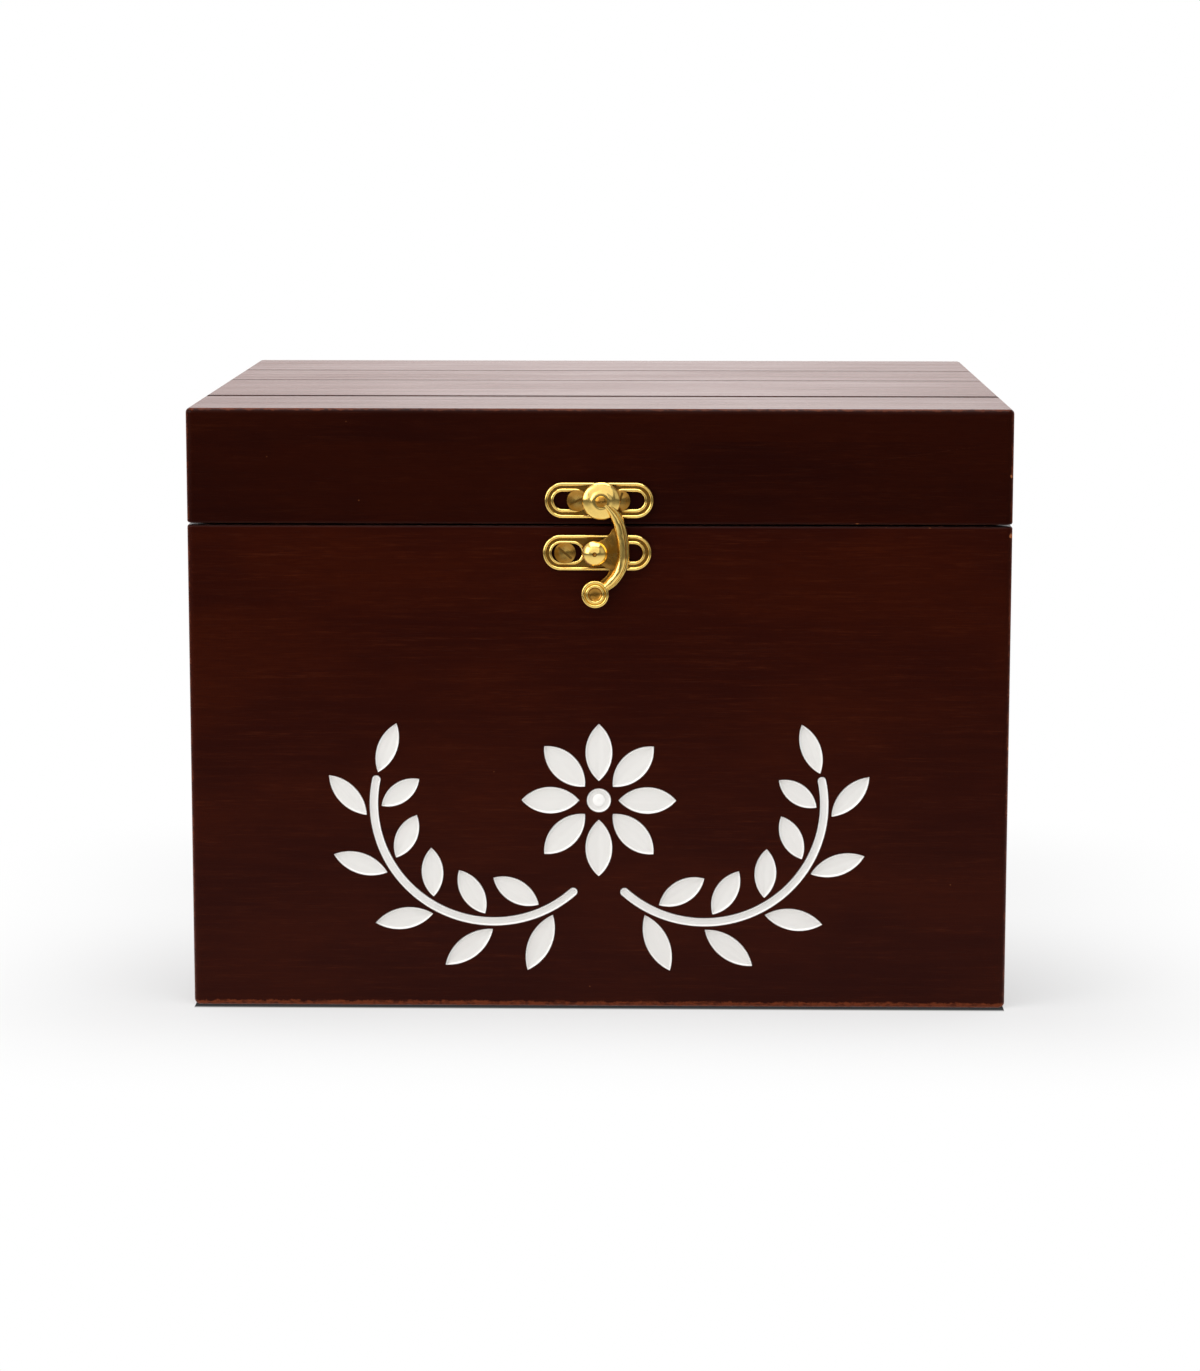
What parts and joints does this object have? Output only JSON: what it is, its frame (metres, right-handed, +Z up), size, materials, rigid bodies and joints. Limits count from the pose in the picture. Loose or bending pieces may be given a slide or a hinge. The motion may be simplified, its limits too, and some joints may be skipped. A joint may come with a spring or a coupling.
{
  "type": "recipe card box",
  "caption": "Stained wooden box for recipe cards with a hinged lid of glued boards, a card groove on top, a white floral inlay in front and a brass swing-hook latch.",
  "frame": {"origin": "centre of the underside, on the flat face that the box stands on", "axes": "+Z up, the front with the latch faces -Y, +X to the right as seen from the front"},
  "size_m": [0.1778, 0.1567, 0.1312],
  "materials": {
    "stained_wood": "dark espresso stain, satin lacquer",
    "bottom_plywood": "stained plywood, matt",
    "white_enamel": "white enamel filling, semi-gloss",
    "latch_brass": "polished yellow brass",
    "hinge_brass": "satin yellow brass",
    "screw_brass": "bright yellow brass"
  },
  "bodies": {
    "box": {"front_panel": "stained_wood", "back_panel": "stained_wood", "left_side_panel": "stained_wood", "right_side_panel": "stained_wood", "bottom_panel": "bottom_plywood", "front_inlay": "white_enamel", "left_hinge_body_leaf": "hinge_brass", "right_hinge_body_leaf": "hinge_brass", "left_hinge_pin": "hinge_brass", "right_hinge_pin": "hinge_brass", "hinge_body_screws": "screw_brass", "latch_body_plate": "latch_brass", "latch_keeper_stud": "latch_brass", "latch_body_screws": "screw_brass"},
    "lid": {"lid_front_rail": "stained_wood", "lid_back_rail": "stained_wood", "lid_left_rail": "stained_wood", "lid_right_rail": "stained_wood", "lid_front_board": "stained_wood", "lid_second_board": "stained_wood", "lid_third_board": "stained_wood", "lid_back_board": "stained_wood", "left_hinge_lid_leaf": "hinge_brass", "right_hinge_lid_leaf": "hinge_brass", "hinge_lid_screws": "screw_brass", "latch_lid_plate": "latch_brass", "latch_pivot_rivet": "latch_brass", "latch_lid_screws": "screw_brass"},
    "hook": {"latch_hook": "latch_brass"}
  },
  "joints": [
    {"name": "lid_hinge", "type": "hinge", "parent": "box", "child": "lid", "pos_m": [0, 0.0736, 0.1062], "axis": [-1, 0, 0], "range_deg": [0, 105]},
    {"name": "hook_swing", "type": "hinge", "parent": "lid", "child": "hook", "pos_m": [0.0005, -0.0762, 0.1116], "axis": [0, -1, 0], "range_deg": [0, 295]}
  ]
}
